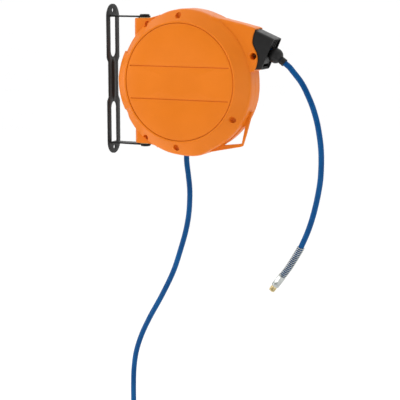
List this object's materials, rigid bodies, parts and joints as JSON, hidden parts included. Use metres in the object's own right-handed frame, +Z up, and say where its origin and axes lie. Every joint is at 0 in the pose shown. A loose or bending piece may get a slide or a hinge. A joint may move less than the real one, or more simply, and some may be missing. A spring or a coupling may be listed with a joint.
{
  "type": "air hose reel",
  "caption": "Wall-mounted spring-rewind compressed-air hose reel: swivelling round casing, black nozzle with ball stop, free hose with spring guard and threaded nipple, inlet hose at the back.",
  "frame": {"origin": "on the back face of the wall plate, level with the drum's axis and 2 mm above the plate's middle", "axes": "+X out from the wall, +Z up, -Y towards the reel's front cover"},
  "size_m": [0.4838, 0.129, 1.1271],
  "materials": {
    "case_orange": "satin-gloss moulded orange plastic",
    "bracket_black": "satin black powder coat on sheet steel",
    "guide_black": "matt black moulded plastic",
    "rubber": "semi-matt black rubber",
    "hose_blue": "glossy translucent blue polyurethane",
    "steel": "bright nickel-plated or zinc-plated steel",
    "brass": "turned brass",
    "drum_grey": "dark grey moulded plastic",
    "nylon_white": "natural nylon",
    "screw_black": "black-oxide steel",
    "roller_maroon": "dark red-brown moulded plastic"
  },
  "bodies": {
    "bracket": {"wall_bracket": "bracket_black", "upper_pivot_bolt": "bracket_black", "lower_pivot_bolt": "bracket_black", "upper_pivot_washer": "brass", "lower_pivot_washer": "brass"},
    "casing": {"front_shell": "case_orange", "rear_shell": "case_orange", "front_cover": "case_orange", "case_screw_top": "screw_black", "case_screw_bottom": "screw_black", "case_screw_right": "screw_black", "case_screw_nozzle": "screw_black", "case_screw_upper_lug": "screw_black", "case_screw_lower_lug": "screw_black", "upper_pivot_bush": "nylon_white", "lower_pivot_bush": "nylon_white", "outlet_guide": "guide_black", "roller_pin_upper": "steel", "roller_pin_lower": "steel", "stop_ball_upper": "rubber", "stop_ball_lower": "rubber", "stop_collar": "rubber", "hose_lead": "hose_blue", "outlet_hose": "hose_blue", "outlet_spring_guard": "steel", "outlet_ferrule": "steel", "outlet_nipple": "brass", "inlet_hose": "hose_blue", "inlet_spring_guard": "steel", "inlet_ferrule": "steel", "inlet_nipple": "brass", "inlet_elbow": "brass", "centre_shaft": "steel", "shaft_nut": "steel", "spring_arbor": "steel", "shaft_circlip": "steel", "pawl_pin": "steel", "pawl_spring": "steel"},
    "drum": {"drum_hub": "drum_grey", "drum_front_flange": "drum_grey", "drum_rear_flange": "drum_grey", "wound_hose": "hose_blue", "spring_cover": "drum_grey", "drum_front_bush": "nylon_white", "drum_rear_bush": "nylon_white", "swivel_body": "brass", "swivel_seal_front": "rubber", "swivel_seal_rear": "rubber", "tail_fitting": "brass", "hose_tail": "hose_blue", "mainspring": "steel", "ratchet_ring": "nylon_white"},
    "pawl": {"pawl": "steel"},
    "roller_upper": {"guide_roller_upper": "roller_maroon"},
    "roller_lower": {"guide_roller_lower": "roller_maroon"}
  },
  "joints": [
    {"name": "case_swivel", "type": "hinge", "parent": "bracket", "child": "casing", "pos_m": [0.0785, 0, 0], "axis": [0, 0, 1], "range_deg": [-90, 75]},
    {"name": "drum_spin", "type": "hinge", "parent": "casing", "child": "drum", "pos_m": [0.18, 0, 0], "axis": [0, 1, 0], "range_deg": [0, 4320], "stiffness_Nm_per_rad": 0.01, "springref_deg": -5729.58, "deforming": ["mainspring"]},
    {"name": "pawl_rock", "type": "hinge", "parent": "casing", "child": "pawl", "pos_m": [0.18, 0.034, -0.084], "axis": [0, 1, 0], "range_deg": [-6, 10], "stiffness_Nm_per_rad": 0.1, "deforming": ["pawl_spring"]},
    {"name": "roller_upper_spin", "type": "hinge", "parent": "casing", "child": "roller_upper", "pos_m": [0.36203, 0, 0.08219], "axis": [0, 1, 0], "continuous": true},
    {"name": "roller_lower_spin", "type": "hinge", "parent": "casing", "child": "roller_lower", "pos_m": [0.34851, 0, 0.06358], "axis": [0, 1, 0], "continuous": true}
  ]
}
